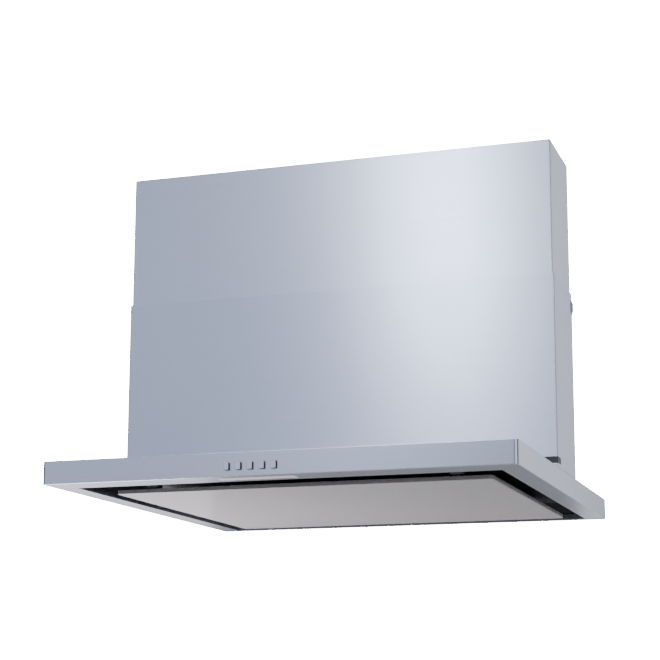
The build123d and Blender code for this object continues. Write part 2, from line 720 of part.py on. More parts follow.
def above_outlet():
    """Rectangle that trims scroll sheets level with the outlet."""
    size = 4 * R_THIRD
    return Pos(FAN_X, OUTLET_Z + size / 2) * Rectangle(size, size)


def scroll_wrap():
    """Curved sheet of the scroll."""
    inside = scroll_outline()
    wrap = offset(inside, SHEET, kind=Kind.INTERSECTION) - inside - above_outlet()
    return slab_y(wrap, -SCROLL_HALF, SCROLL_HALF)


def scroll_plate(side):
    """Side sheet of the scroll with its inlet hole and turned-in inlet lip."""
    sheet = offset(scroll_outline(), SCROLL_FLANGE, kind=Kind.INTERSECTION) - above_outlet()
    sheet -= Pos(FAN_X, FAN_Z) * Circle(INLET_R)
    ring = Pos(FAN_X, FAN_Z) * (Circle(INLET_R + SHEET) - Circle(INLET_R))
    inner = side * SCROLL_HALF
    plate = slab_y(sheet, *sorted((inner, side * PLATE_OUTER_Y)))
    lip = slab_y(ring, *sorted((side * (SCROLL_HALF - INLET_LIP), side * PLATE_OUTER_Y)))
    return plate + lip


def fan_round(radius, y0, y1):
    """Round bar on the fan's axis."""
    return slab_y(Pos(FAN_X, FAN_Z) * Circle(radius), y0, y1)


def blade():
    """One forward-curved blade, drawn about the fan's axis."""
    mid_r = (WHEEL_EYE_R + WHEEL_R) / 2
    end = math.radians(BLADE_SWEEP)
    outer_r = WHEEL_R - BLADE_THICK
    bow = math.radians(BLADE_SWEEP / 2 - BLADE_BOW)
    arc = ThreePointArc(
        (WHEEL_EYE_R, 0),
        (mid_r * math.cos(bow), mid_r * math.sin(bow)),
        (outer_r * math.cos(end), outer_r * math.sin(end)),
    )
    return trace(arc, BLADE_THICK)


def fan_wheel():
    """Double-inlet wheel: middle disc with hub, blades both sides, a ring at each end."""
    middle = Pos(FAN_X, FAN_Z)
    wheel = fan_round(WHEEL_R - BLADE_THICK, -WHEEL_DISC / 2, WHEEL_DISC / 2)
    wheel += fan_round(HUB_R, -HUB_LENGTH / 2, HUB_LENGTH / 2)
    ring = middle * (Circle(WHEEL_R) - Circle((WHEEL_R + WHEEL_EYE_R) / 2))
    wheel += slab_y(ring, -WHEEL_HALF, WHEEL_RING - WHEEL_HALF)
    wheel += slab_y(ring, WHEEL_HALF - WHEEL_RING, WHEEL_HALF)
    one = blade()
    blades = Sketch() + [middle * Rot(0, 0, i * 360 / BLADE_COUNT) * one for i in range(BLADE_COUNT)]
    wheel += slab_y(blades, -WHEEL_HALF, WHEEL_HALF)
    return wheel - fan_round(SHAFT_R, -HUB_LENGTH, HUB_LENGTH)


def motor_shaft():
    """Shaft from the motor's front bearing to beyond the wheel's nut."""
    return fan_round(SHAFT_R, -MOTOR_FRONT - NUT_LENGTH, HUB_LENGTH / 2 + 2 * NUT_LENGTH)


def wheel_nut():
    """Hexagon nut that holds the wheel on the shaft."""
    outline = Pos(FAN_X, FAN_Z) * (RegularPolygon(NUT_R, 6) - Circle(SHAFT_R))
    return slab_y(outline, HUB_LENGTH / 2, HUB_LENGTH / 2 + NUT_LENGTH)


def motor():
    """Motor can with a mounting flange and a stepped front cap."""
    flange_y = -PLATE_OUTER_Y - BRACKET_THICK
    body = fan_round(MOTOR_R, -MOTOR_FRONT + MOTOR_FLANGE, -MOTOR_BACK)
    body += fan_round(MOTOR_R - 2 * MOTOR_FLANGE, -MOTOR_FRONT, -MOTOR_FRONT + MOTOR_FLANGE)
    body += fan_round(MOTOR_FLANGE_R, flange_y - MOTOR_FLANGE, flange_y)
    return body - fan_round(SHAFT_R + SHAFT_RUNNING, -MOTOR_FRONT - 1, 0)


def motor_bracket():
    """Three-armed bracket on the front scroll plate, with a ring round the motor."""
    outline = Circle(BRACKET_RING_R) - Circle(BRACKET_RING_R - BRACKET_RING)
    reach = BRACKET_RING_R - BRACKET_RING / 2
    for angle in (90, 210, 330):
        outline += Rot(0, 0, angle) * Pos(reach / 2, 0) * Rectangle(reach, BRACKET_ARM)
    outline += Circle(MOTOR_FLANGE_R)
    outline -= Circle(MOTOR_R)
    return slab_y(Pos(FAN_X, FAN_Z) * outline, -PLATE_OUTER_Y - BRACKET_THICK, -PLATE_OUTER_Y)


def blower_rail(side):
    """Flat rail against a scroll plate, with a bent foot on each strut's web."""
    y0 = PLATE_OUTER_Y
    y1 = PLATE_OUTER_Y + BLOWER_RAIL_THICK
    z1 = OUTLET_Z
    z0 = z1 - BLOWER_RAIL_HEIGHT
    low, high = sorted((side * y0, side * y1))
    rail = block(-STRUT_X, STRUT_X, low, high, z0, z1)
    foot_low, foot_high = sorted((side * y0, side * (STRUT_WIDTH / 2 - RAIL_FOOT_INSET)))
    for end in (-1, 1):
        rail += sided(end, STRUT_X - RAIL_FOOT, STRUT_X, foot_low, foot_high, z0, z1)
    return rail


# ---- Duct ---------------------------------------------------------------------------------------

def outlet_adaptor():
    """Transition from the scroll's oblong outlet to the round collar."""
    outer = loft([
        Pos(0, 0, OUTLET_Z) * Rectangle(2 * (OUTLET_X + SHEET), 2 * PLATE_OUTER_Y),
        Pos(0, 0, COLLAR_FOOT) * Circle(DUCT_R),
    ])
    inner = loft([
        Pos(0, 0, OUTLET_Z) * Rectangle(2 * OUTLET_X, 2 * SCROLL_HALF),
        Pos(0, 0, COLLAR_FOOT) * Circle(DUCT_R - DUCT_SHEET),
    ])
    return outer - inner


def duct_collar():
    """Round spigot for the duct on a thicker foot, which has bearing holes for the damper."""
    bore = Circle(DUCT_R - DUCT_SHEET)
    collar = slab(Circle(DUCT_R) - bore, COLLAR_FOOT, COLLAR_FOOT + COLLAR_HEIGHT)
    collar += slab(Circle(DUCT_R + SHOULDER) - bore, COLLAR_FOOT, COLLAR_FOOT + SHOULDER_HEIGHT)
    return collar - rod_x(DAMPER_SHAFT_R + SHAFT_RUNNING, -2 * DUCT_R, 2 * DUCT_R, 0, DAMPER_Z)


def damper_flap():
    """Butterfly disc with a thickened middle that grips the shaft."""
    radius = DUCT_R - DUCT_SHEET - FLAP_CLEAR
    half = FLAP_THICK / 2
    disc = rod_z(radius, 0, 0, DAMPER_Z - half, DAMPER_Z + half)
    reach = radius - FLAP_BOSS_R
    disc += rod_x(FLAP_BOSS_R, -reach, reach, 0, DAMPER_Z)
    return disc - rod_x(DAMPER_SHAFT_R, -DUCT_R, DUCT_R, 0, DAMPER_Z)


def damper_shaft():
    """Shaft across the collar."""
    reach = DUCT_R + SHOULDER + DAMPER_SHAFT_END
    return rod_x(DAMPER_SHAFT_R, -reach, reach, 0, DAMPER_Z)


# ---- Control box --------------------------------------------------------------------------------

BOX_X1 = -STRUT_X - STRUT_FLANGE
BOX_X0 = BOX_X1 - BOX_WIDTH
BOX_Y = BOX_DEPTH / 2
BOX_Z0 = BASE + BOX_LEVEL
BOX_Z1 = BOX_Z0 + BOX_HEIGHT
GLAND_X = (BOX_X0 + BOX_X1) / 2
BOARD_BACK = BOX_Y - BOX_WALL - STANDOFF


def control_box():
    """Box beside the left strut, open to the front, with standoffs for the board."""
    body = block(BOX_X0, BOX_X1, -BOX_Y, BOX_Y, BOX_Z0, BOX_Z1)
    body -= block(
        BOX_X0 + BOX_WALL, BOX_X1 - BOX_WALL, -BOX_Y - 1, BOX_Y - BOX_WALL,
        BOX_Z0 + BOX_WALL, BOX_Z1 - BOX_WALL,
    )
    inset = BOX_WALL + BOARD_MARGIN + STANDOFF_R
    for x in (BOX_X0 + inset, BOX_X1 - inset):
        for z in (BOX_Z0 + inset, BOX_Z1 - inset):
            body += slab_y(Pos(x, z) * Circle(STANDOFF_R), BOARD_BACK, BOX_Y - BOX_WALL)
    return body - rod_z(GLAND_HOLE_R, GLAND_X, 0, BOX_Z1 - 2 * BOX_WALL, BOX_Z1 + 1)


def control_box_lid():
    """Flat lid over the box's open front."""
    return block(BOX_X0, BOX_X1, -BOX_Y - BOX_WALL, -BOX_Y, BOX_Z0, BOX_Z1)


def control_board():
    """Circuit board on the standoffs."""
    inset = BOX_WALL + BOARD_MARGIN
    return block(
        BOX_X0 + inset, BOX_X1 - inset, BOARD_BACK - BOARD_THICK, BOARD_BACK,
        BOX_Z0 + inset, BOX_Z1 - inset,
    )


def capacitor():
    """Motor capacitor, standing on the floor of the box."""
    foot = BOX_Z0 + BOX_WALL
    return rod_z(CAPACITOR_R, GLAND_X, -BOX_Y / 3, foot, foot + CAPACITOR_LENGTH)


def cable_gland():
    """Gland on the box's top, where the supply lead would come in."""
    body = rod_z(GLAND_R, GLAND_X, 0, BOX_Z1, BOX_Z1 + GLAND_LENGTH)
    body += slab(Pos(GLAND_X, 0) * RegularPolygon(GLAND_HEX_R, 6), BOX_Z1, BOX_Z1 + GLAND_HEX)
    return body - rod_z(GLAND_BORE_R, GLAND_X, 0, BOX_Z1 - 1, BOX_Z1 + GLAND_LENGTH + 1)


# ---- Push buttons and switches ------------------------------------------------------------------

def button(x):
    """Oblong cap through the front wall, with a flange behind it and a stem."""
    cap = button_bar(x, 0, FRONT - BUTTON_PROUD, BUTTON_BACK_Y)
    cap = fillet(cap.faces().sort_by(Axis.Y)[0].edges(), BUTTON_CORNER_R / 2)
    seat = WALL_INNER_Y + FIT
    cap += button_bar(x, BUTTON_FLANGE, seat, seat + BUTTON_FLANGE_THICK)
    return cap + slab_y(Pos(x, BUTTON_Z) * Circle(BUTTON_STEM_R), BUTTON_BACK_Y, STEM_END_Y)


def button_housing():
    """Guide block behind the front wall, deep enough to hold the switch board."""
    half_x = (BUTTON_COUNT - 1) * BUTTON_PITCH / 2 + HOUSING_END
    half_z = HOUSING_HEIGHT / 2
    x0 = BUTTON_ROW_X - half_x
    x1 = BUTTON_ROW_X + half_x
    face = WALL_INNER_Y + HOUSING_FACE
    body = block(x0, x1, WALL_INNER_Y, BOARD_Y, BUTTON_Z - half_z, BUTTON_Z + half_z)
    body -= block(
        x0 + HOUSING_WALL, x1 - HOUSING_WALL, face, BOARD_Y + 1,
        BUTTON_Z - half_z + HOUSING_WALL, BUTTON_Z + half_z - HOUSING_WALL,
    )
    pocket_end = WALL_INNER_Y + FIT + BUTTON_FLANGE_THICK + BUTTON_TRAVEL + FIT
    for x in button_places():
        body -= button_bar(x, BUTTON_FLANGE + FIT, WALL_INNER_Y - 1, pocket_end)
        body -= button_bar(x, FIT, WALL_INNER_Y, face + 1)
    return body


def switch_board():
    """Circuit board across the back of the housing."""
    half_x = (BUTTON_COUNT - 1) * BUTTON_PITCH / 2 + HOUSING_END
    half_z = HOUSING_HEIGHT / 2
    return block(
        BUTTON_ROW_X - half_x, BUTTON_ROW_X + half_x, BOARD_Y, BOARD_Y + SWITCH_BOARD,
        BUTTON_Z - half_z, BUTTON_Z + half_z,
    )


def tactile_switches():
    """One small switch on the board behind each button."""
    half = SWITCH_BODY / 2
    return [
        block(x - half, x + half, SWITCH_Y, BOARD_Y, BUTTON_Z - half, BUTTON_Z + half)
        for x in button_places()
    ]


# ---- Lamp ---------------------------------------------------------------------------------------

def lamp_lens():
    """Lens in the front rim, with a flange on the rim's inner face."""
    lens = lamp_window(0, BASE + FIT, BASE + LENS_THICK)
    return lens + lamp_window(LENS_BORDER, RIM_TOP, RIM_TOP + LENS_FLANGE)


def lamp_module():
    """Light engine on top of the lens."""
    foot = RIM_TOP + LENS_FLANGE
    return lamp_window(0, foot, foot + MODULE_HEIGHT)


# ---- All nodes ----------------------------------------------------------------------------------

def all_nodes():
    """Every node by name, each one solid or a list of like solids."""
    nodes = {
        "canopy_shell": canopy_shell(),
        "plenum_liner": plenum_liner(),
        "throat_frame": throat_frame(),
        "oil_tray": oil_tray(),
        "baffle_panel": baffle_panel(),
        "baffle_backing": baffle_backing(),
        "hinge_pins": hinge_pins(),
        "latch_studs": latch_studs(),
        "lower_cover": lower_cover(),
        "lower_rear_panel": lower_rear_panel(),
        "lower_panel_screws": lower_panel_screws(),
        "upper_cover": upper_cover(),
        "upper_rear_panel": upper_rear_panel(),
        "ceiling_frame": ceiling_frame(),
        "strut_bolts": strut_bolts(),
        "scroll_wrap": scroll_wrap(),
        "scroll_front_plate": scroll_plate(-1),
        "scroll_rear_plate": scroll_plate(1),
        "fan_wheel": fan_wheel(),
        "motor_shaft": motor_shaft(),
        "wheel_nut": wheel_nut(),
        "motor": motor(),
        "motor_bracket": motor_bracket(),
        "blower_rail_front": blower_rail(-1),
        "blower_rail_rear": blower_rail(1),
        "outlet_adaptor": outlet_adaptor(),
        "duct_collar": duct_collar(),
        "damper_flap": damper_flap(),
        "damper_shaft": damper_shaft(),
        "control_box": control_box(),
        "control_box_lid": control_box_lid(),
        "control_board": control_board(),
        "capacitor": capacitor(),
        "cable_gland": cable_gland(),
        "button_housing": button_housing(),
        "switch_board": switch_board(),
        "tactile_switches": tactile_switches(),
        "lamp_lens": lamp_lens(),
        "lamp_module": lamp_module(),
    }
    for number, x in enumerate(button_places(), start=1):
        nodes[f"button_{number}"] = button(x)
    clips = corner_clips()
    for index, (word, side) in enumerate((("left", -1), ("right", 1))):
        nodes[f"grease_filter_{word}"] = grease_filter(side)
        nodes[f"hinge_leaf_{word}"] = hinge_leaf(side)
        nodes[f"hinge_bracket_{word}"] = hinge_bracket(side)
        nodes[f"latch_catch_{word}"] = latch_catch(side)
        nodes[f"corner_clip_{word}"] = clips[index]
        nodes[f"side_catch_{word}"] = side_catch(side)
        nodes[f"lower_strut_{word}"] = lower_strut(side)
        nodes[f"upper_strut_{word}"] = upper_strut(side)
    return nodes


os.makedirs("parts", exist_ok=True)
for name, shape in all_nodes().items():
    whole = Compound(children=shape) if isinstance(shape, list) else shape
    export_step(whole, f"parts/{name}.step")
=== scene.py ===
import math

import bpy
import numpy as np
from mathutils import Euler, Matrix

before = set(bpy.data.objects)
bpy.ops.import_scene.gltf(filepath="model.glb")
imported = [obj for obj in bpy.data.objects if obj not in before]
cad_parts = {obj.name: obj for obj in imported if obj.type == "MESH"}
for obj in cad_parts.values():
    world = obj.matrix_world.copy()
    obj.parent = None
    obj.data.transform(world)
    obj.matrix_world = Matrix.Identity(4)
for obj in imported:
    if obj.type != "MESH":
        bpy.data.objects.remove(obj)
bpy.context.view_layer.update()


# ---- Camera ------------------------------------------------------------------------------------
# It stands a good three metres off the front right corner, a little below the canopy, and looks
# up at the underside. Lengths are metres from the ceiling, like everything else here.

TILT_UP = 10.51
TURN_LEFT = 17.60

camera_data = bpy.data.cameras.new("hood_camera")
camera_data.sensor_width = 36.0
camera_data.lens = 90.9
camera_data.shift_x = -0.05
camera_data.shift_y = 0.10
camera_data.clip_start = 0.05
camera_data.clip_end = 60.0
camera = bpy.data.objects.new("hood_camera", camera_data)
camera.location = (1.044, -3.190, -1.101)
camera.rotation_euler = Euler((math.radians(90.0 + TILT_UP), 0.0, math.radians(TURN_LEFT)))
bpy.context.scene.collection.objects.link(camera)
bpy.context.scene.camera = camera


# ---- Floor and studio light --------------------------------------------------------------------
# A pale floor lies well below the hood. It is clear from below, so that the underside can be seen
# from there, and a glow that only the camera sees keeps it pale in views from above. Soft boxes
# stand round the hood in dim air, against a white that only the camera sees.

FLOOR_LEVEL = -2.30
FLOOR_REACH = 14.0
AIR_STRENGTH = 0.28
WHITE_STRENGTH = 45.0


def new_mesh_object(name, points, faces):
    """A mesh object at the origin from an (n, 3) array of points and an (m, k) array of faces."""
    mesh = bpy.data.meshes.new(name)
    mesh.from_pydata(points.tolist(), [], faces.tolist())
    mesh.update()
    made = bpy.data.objects.new(name, mesh)
    bpy.context.scene.collection.objects.link(made)
    return made


def new_material(name, **values):
    """A material with its node tree and its surface shader, whose named sockets get fixed values."""
    material = bpy.data.materials.new(name)
    material.use_nodes = True
    tree = material.node_tree
    shader = tree.nodes["Principled BSDF"]
    for socket, value in values.items():
        shader.inputs[socket.replace("_", " ")].default_value = value
    return material, tree, shader


def add_node(tree, kind, **settings):
    """A node of that kind; in_Socket_Name sets an input's value, any other name an attribute."""
    made = tree.nodes.new(kind)
    for key, value in settings.items():
        if key.startswith("in_"):
            made.inputs[key.removeprefix("in_").replace("_", " ")].default_value = value
        else:
            setattr(made, key, value)
    return made


def maths(tree, operation, *values):
    """One step of arithmetic on up to three sockets or plain numbers; gives the result's socket."""
    made = add_node(tree, "ShaderNodeMath", operation=operation)
    for slot, value in enumerate(values):
        if isinstance(value, float):
            made.inputs[slot].default_value = value
        else:
            tree.links.new(value, made.inputs[slot])
    return made.outputs[0]


floor_corners = FLOOR_REACH * np.array([[-1, -1], [1, -1], [1, 1], [-1, 1]])
floor = new_mesh_object(
    "studio_floor",
    np.column_stack([floor_corners, np.full(4, FLOOR_LEVEL)]),
    np.array([[0, 1, 2, 3]]),
)
floor_paint, floor_tree, floor_shader = new_material(
    "pale_floor", Roughness=0.55, Emission_Color=(1.0, 1.0, 0.99, 1.0)
)
floor_place = add_node(floor_tree, "ShaderNodeTexCoord")
floor_cloud = add_node(floor_tree, "ShaderNodeTexNoise", in_Scale=0.9, in_Detail=2.0)
floor_tint = add_node(floor_tree, "ShaderNodeValToRGB")
floor_tint.color_ramp.elements[0].color = (0.80, 0.80, 0.79, 1.0)
floor_tint.color_ramp.elements[1].color = (0.86, 0.86, 0.85, 1.0)
floor_face = add_node(floor_tree, "ShaderNodeNewGeometry")
floor_from_above = maths(floor_tree, "SUBTRACT", 1.0, floor_face.outputs["Backfacing"])
floor_seen = add_node(floor_tree, "ShaderNodeLightPath")
floor_tree.links.new(floor_place.outputs["Object"], floor_cloud.inputs["Vector"])
floor_tree.links.new(floor_cloud.outputs["Fac"], floor_tint.inputs["Fac"])
floor_tree.links.new(floor_tint.outputs["Color"], floor_shader.inputs["Base Color"])
floor_tree.links.new(floor_from_above, floor_shader.inputs["Alpha"])
floor_tree.links.new(floor_seen.outputs["Is Camera Ray"], floor_shader.inputs["Emission Strength"])
floor.data.materials.append(floor_paint)

world = bpy.data.worlds.new("studio_air")
world.use_nodes = True
bpy.context.scene.world = world
air = world.node_tree
air_light = air.nodes["Background"]
air_light.inputs["Color"].default_value = (0.93, 0.95, 1.0, 1.0)
air_light.inputs["Strength"].default_value = AIR_STRENGTH
air_white = add_node(
    air, "ShaderNodeBackground", in_Color=(1.0, 1.0, 1.0, 1.0), in_Strength=WHITE_STRENGTH
)
air_seen = add_node(air, "ShaderNodeLightPath")
air_mix = add_node(air, "ShaderNodeMixShader")
air.links.new(air_seen.outputs["Is Camera Ray"], air_mix.inputs[0])
air.links.new(air_light.outputs[0], air_mix.inputs[1])
air.links.new(air_white.outputs[0], air_mix.inputs[2])
air.links.new(air_mix.outputs[0], air.nodes["World Output"].inputs["Surface"])


def soft_box(name, place, target, size, power, colour):
    """A soft light of a width and height, turned to face a target, unseen by the camera itself."""
    data = bpy.data.lights.new(name, "AREA")
    data.shape = "RECTANGLE"
    data.size, data.size_y = size
    data.energy = power
    data.color = colour
    made = bpy.data.objects.new(name, data)
    made.location = place
    aim = np.array(target) - np.array(place)
    yaw = math.atan2(aim[1], aim[0]) - math.pi / 2
    pitch = math.atan2(aim[2], math.hypot(aim[0], aim[1])) + math.pi / 2
    made.rotation_euler = Euler((pitch, 0.0, yaw))
    made.visible_camera = False
    bpy.context.scene.collection.objects.link(made)


# A narrow tall box makes the upright sheen on the chimney, and two wide ones its cool tone.
soft_box(
    "tall_sheen_box", place=(-0.41, -2.55, 0.62), target=(0.21, -0.09, -0.30),
    size=(0.18, 0.85), power=14.0, colour=(0.86, 0.93, 1.0),
)
soft_box(
    "front_left_box", place=(-2.4, -4.3, 0.60), target=(0.0, 0.0, -0.40),
    size=(3.4, 2.8), power=22.5, colour=(0.74, 0.81, 1.0),
)
soft_box(
    "front_fill_box", place=(0.20, -4.80, 0.30), target=(0.0, 0.0, -0.50),
    size=(3.4, 1.6), power=8.0, colour=(0.76, 0.83, 1.0),
)
# One box lights the floor and the canopy's top, one the right side, one the front right corner.
soft_box(
    "overhead_box", place=(0.0, -0.6, 2.60), target=(0.0, 0.0, 0.0),
    size=(3.2, 3.2), power=120.0, colour=(1.0, 1.0, 1.0),
)
soft_box(
    "right_back_box", place=(2.05, 3.3, -0.1), target=(0.4, 0.0, -0.40),
    size=(2.2, 3.0), power=19.0, colour=(0.95, 0.97, 1.0),
)
soft_box(
    "corner_box", place=(2.9, -2.0, 0.10), target=(0.45, -0.45, -0.68),
    size=(2.2, 1.4), power=16.0, colour=(0.92, 0.95, 1.0),
)
# Three low boxes light the panel and the rim from below, brighter towards the left.
soft_box(
    "low_back_left_box", place=(-3.19, 3.9, -1.25), target=(-0.2, 0.2, -0.75),
    size=(2.4, 1.8), power=14.0, colour=(1.0, 0.96, 1.0),
)
soft_box(
    "low_back_box", place=(0.35, 4.0, -1.25), target=(0.3, 0.2, -0.75),
    size=(1.2, 0.8), power=2.5, colour=(0.98, 0.98, 1.0),
)
soft_box(
    "under_left_box", place=(-0.9, 0.1, -1.5), target=(-0.5, 0.1, -0.70),
    size=(0.6, 0.6), power=26.0, colour=(1.0, 0.95, 1.0),
)


# ---- Canopy ------------------------------------------------------------------------------------
# A shallow tray of 1.2 mm stainless sheet, brushed along its length, folded down on four sides
# and turned in below to a rim with an upturned lip. The upright corners are welded and dressed.

FLAT_FROM = 0.7
SPECKS_IN_A_CLOUD = 24.0


def new_group(name, inputs, outputs):
    """A node group with named number sockets; gives the group, its input and its output node."""
    group = bpy.data.node_groups.new(name, "ShaderNodeTree")
    for socket in outputs:
        group.interface.new_socket(socket, in_out="OUTPUT", socket_type="NodeSocketFloat")
    for socket in inputs:
        group.interface.new_socket(socket, in_out="INPUT", socket_type="NodeSocketFloat")
    return group, group.nodes.new("NodeGroupInput"), group.nodes.new("NodeGroupOutput")


def remap(tree, value, low, high, new_low, new_high):
    """A value taken from one range to another and held inside it; gives the socket."""
    made = add_node(
        tree, "ShaderNodeMapRange",
        in_From_Min=low, in_From_Max=high, in_To_Min=new_low, in_To_Max=new_high,
    )
    tree.links.new(value, made.inputs["Value"])
    return made.outputs["Result"]


# Brushing: thin scratches that run level on upright faces and along X on flat ones. The height
# across the scratches is Z, or Y on a flat face, so one group serves every folded face.
brushing, brush_in, brush_out = new_group("brushing", ["Length", "Fineness"], ["Streak", "Band"])
brush_place = add_node(brushing, "ShaderNodeTexCoord")
brush_at = add_node(brushing, "ShaderNodeSeparateXYZ")
brush_facing = add_node(brushing, "ShaderNodeSeparateXYZ")
brushing.links.new(brush_place.outputs["Object"], brush_at.inputs[0])
brushing.links.new(brush_place.outputs["Normal"], brush_facing.inputs[0])
face_up = maths(brushing, "ABSOLUTE", brush_facing.outputs["Z"])
flat = maths(brushing, "GREATER_THAN", face_up, FLAT_FROM)
upright = maths(brushing, "SUBTRACT", 1.0, flat)
along = maths(brushing, "MULTIPLY_ADD", brush_at.outputs["Y"], upright, brush_at.outputs["X"])
across = maths(
    brushing, "ADD",
    maths(brushing, "MULTIPLY", brush_at.outputs["Z"], upright),
    maths(brushing, "MULTIPLY", brush_at.outputs["Y"], flat),
)
drawn_out = maths(brushing, "DIVIDE", along, brush_in.outputs["Length"])
packed_in = maths(brushing, "MULTIPLY", across, brush_in.outputs["Fineness"])
scratched = add_node(brushing, "ShaderNodeCombineXYZ")
fine = add_node(brushing, "ShaderNodeTexNoise", in_Scale=1.0, in_Detail=3.0, in_Roughness=0.7)
broad = add_node(brushing, "ShaderNodeTexNoise", in_Scale=0.06, in_Detail=2.0)
brushing.links.new(drawn_out, scratched.inputs["X"])
brushing.links.new(packed_in, scratched.inputs["Y"])
brushing.links.new(scratched.outputs[0], fine.inputs["Vector"])
brushing.links.new(scratched.outputs[0], broad.inputs["Vector"])
brushing.links.new(fine.outputs["Fac"], brush_out.inputs["Streak"])
brushing.links.new(broad.outputs["Fac"], brush_out.inputs["Band"])

# Edge wear: how far the rounded-over normal leaves the true one, so it is 1 on outer edges.
edge_wear, edge_in, edge_out = new_group("edge_wear", ["Radius", "Patchiness"], ["Edge"])
rounded = add_node(edge_wear, "ShaderNodeBevel", samples=4)
true_normal = add_node(edge_wear, "ShaderNodeNewGeometry")
agree = add_node(edge_wear, "ShaderNodeVectorMath", operation="DOT_PRODUCT")
wear_place = add_node(edge_wear, "ShaderNodeTexCoord")
wear_patch = add_node(edge_wear, "ShaderNodeTexNoise", in_Scale=38.0, in_Detail=3.0)
worn_share = add_node(edge_wear, "ShaderNodeMix", in_A=1.0)
edge_wear.links.new(edge_in.outputs["Radius"], rounded.inputs["Radius"])
edge_wear.links.new(rounded.outputs[0], agree.inputs[0])
edge_wear.links.new(true_normal.outputs["Normal"], agree.inputs[1])
edge_wear.links.new(wear_place.outputs["Object"], wear_patch.inputs["Vector"])
bent = remap(edge_wear, agree.outputs["Value"], 0.99, 0.80, 0.0, 1.0)
patchy = remap(edge_wear, wear_patch.outputs["Fac"], 0.35, 0.62, 0.0, 1.0)
edge_wear.links.new(edge_in.outputs["Patchiness"], worn_share.inputs["Factor"])
edge_wear.links.new(patchy, worn_share.inputs["B"])
edge_wear.links.new(
    maths(edge_wear, "MULTIPLY", bent, worn_share.outputs["Result"]), edge_out.inputs["Edge"]
)

# Handling: soft, cloudy differences that wiping and fingers leave in any finish.
handling, hand_in, hand_out = new_group("handling", ["Scale"], ["Cloud", "Speck"])
hand_place = add_node(handling, "ShaderNodeTexCoord")
cloud = add_node(handling, "ShaderNodeTexNoise", in_Detail=4.0, in_Roughness=0.55)
speck = add_node(handling, "ShaderNodeTexNoise", in_Detail=2.0)
speck_scale = maths(handling, "MULTIPLY", hand_in.outputs["Scale"], SPECKS_IN_A_CLOUD)
handling.links.new(hand_place.outputs["Object"], cloud.inputs["Vector"])
handling.links.new(hand_place.outputs["Object"], speck.inputs["Vector"])
handling.links.new(hand_in.outputs["Scale"], cloud.inputs["Scale"])
handling.links.new(speck_scale, speck.inputs["Scale"])
cloud_mask = remap(handling, cloud.outputs["Fac"], 0.3, 0.7, 0.0, 1.0)
speck_mask = remap(handling, speck.outputs["Fac"], 0.5, 0.75, 0.0, 1.0)
handling.links.new(cloud_mask, hand_out.inputs["Cloud"])
handling.links.new(speck_mask, hand_out.inputs["Speck"])


def use_group(tree, group, **values):
    """One use of a shared group, with its own input values."""
    made = add_node(tree, "ShaderNodeGroup", node_tree=group)
    for socket, value in values.items():
        made.inputs[socket].default_value = value
    return made


def tint(tree, mask, first, second):
    """A colour that goes from the first to the second as a mask rises; gives the colour's socket."""
    made = add_node(
        tree, "ShaderNodeMix", data_type="RGBA", in_A=(*first, 1.0), in_B=(*second, 1.0)
    )
    tree.links.new(mask, made.inputs["Factor"])
    return made.outputs["Result"]


def tint_over(tree, under, mask, share, colour):
    """A colour laid over another colour's socket, as much as a mask times a share."""
    made = add_node(tree, "ShaderNodeMix", data_type="RGBA", in_B=(*colour, 1.0))
    tree.links.new(maths(tree, "MULTIPLY", mask, share), made.inputs["Factor"])
    tree.links.new(under, made.inputs["A"])
    return made.outputs["Result"]


def vary(tree, mask, swing, base):
    """A base value that a mask raises by up to a swing: mask * swing + base."""
    return maths(tree, "MULTIPLY_ADD", mask, swing, base)


def relief(tree, shader, height, depth, strength):
    """Height taken into the shader's normal by a bump of that depth in metres."""
    made = add_node(tree, "ShaderNodeBump", in_Strength=strength, in_Distance=depth)
    tree.links.new(height, made.inputs["Height"])
    tree.links.new(made.outputs[0], shader.inputs["Normal"])


def dress(material, *names):
    """Gives CAD nodes a finish, in place of the plain one they come with."""
    for name in names:
        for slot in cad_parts[name].material_slots:
            slot.material = material


def brushed_sheet(name, anisotropy, roughness, dark, light):
    """Brushed stainless: level grain, streaked tone, wiped patches and brighter folded edges.

    The grain's direction is Z x normal, plus a little X for flat faces, where that product is
    nothing. The sheen is drawn out across the grain, a quarter turn from it.
    """
    material, tree, shader = new_material(
        name, Metallic=1.0, Anisotropic=anisotropy, Anisotropic_Rotation=0.25
    )
    brush = use_group(tree, brushing, Length=0.55, Fineness=1500.0)
    wipe = use_group(tree, handling, Scale=3.0)
    edge = use_group(tree, edge_wear, Radius=0.0012, Patchiness=0.3)
    tone = tint(tree, brush.outputs["Streak"], dark, light)
    tone = tint_over(tree, tone, edge.outputs["Edge"], 0.5, (0.82, 0.84, 0.87))
    rough = vary(tree, brush.outputs["Band"], 0.04, roughness)
    rough = vary(tree, wipe.outputs["Cloud"], 0.03, rough)
    tree.links.new(tone, shader.inputs["Base Color"])
    tree.links.new(rough, shader.inputs["Roughness"])
    relief(tree, shader, brush.outputs["Streak"], 0.00002, 0.3)
    facing = add_node(tree, "ShaderNodeTexCoord")
    level = add_node(tree, "ShaderNodeVectorMath", operation="CROSS_PRODUCT")
    level.inputs[0].default_value = (0.0, 0.0, 1.0)
    grain = add_node(tree, "ShaderNodeVectorMath", operation="ADD")
    grain.inputs[1].default_value = (0.02, 0.0, 0.0)
    tree.links.new(facing.outputs["Normal"], level.inputs[1])
    tree.links.new(level.outputs[0], grain.inputs[0])
    tree.links.new(grain.outputs[0], shader.inputs["Tangent"])
    return material


canopy_stainless = brushed_sheet(
    "canopy_stainless", anisotropy=0.20, roughness=0.21,
    dark=(0.490, 0.520, 0.630), light=(0.570, 0.605, 0.715),
)
dress(canopy_stainless, "canopy_shell")


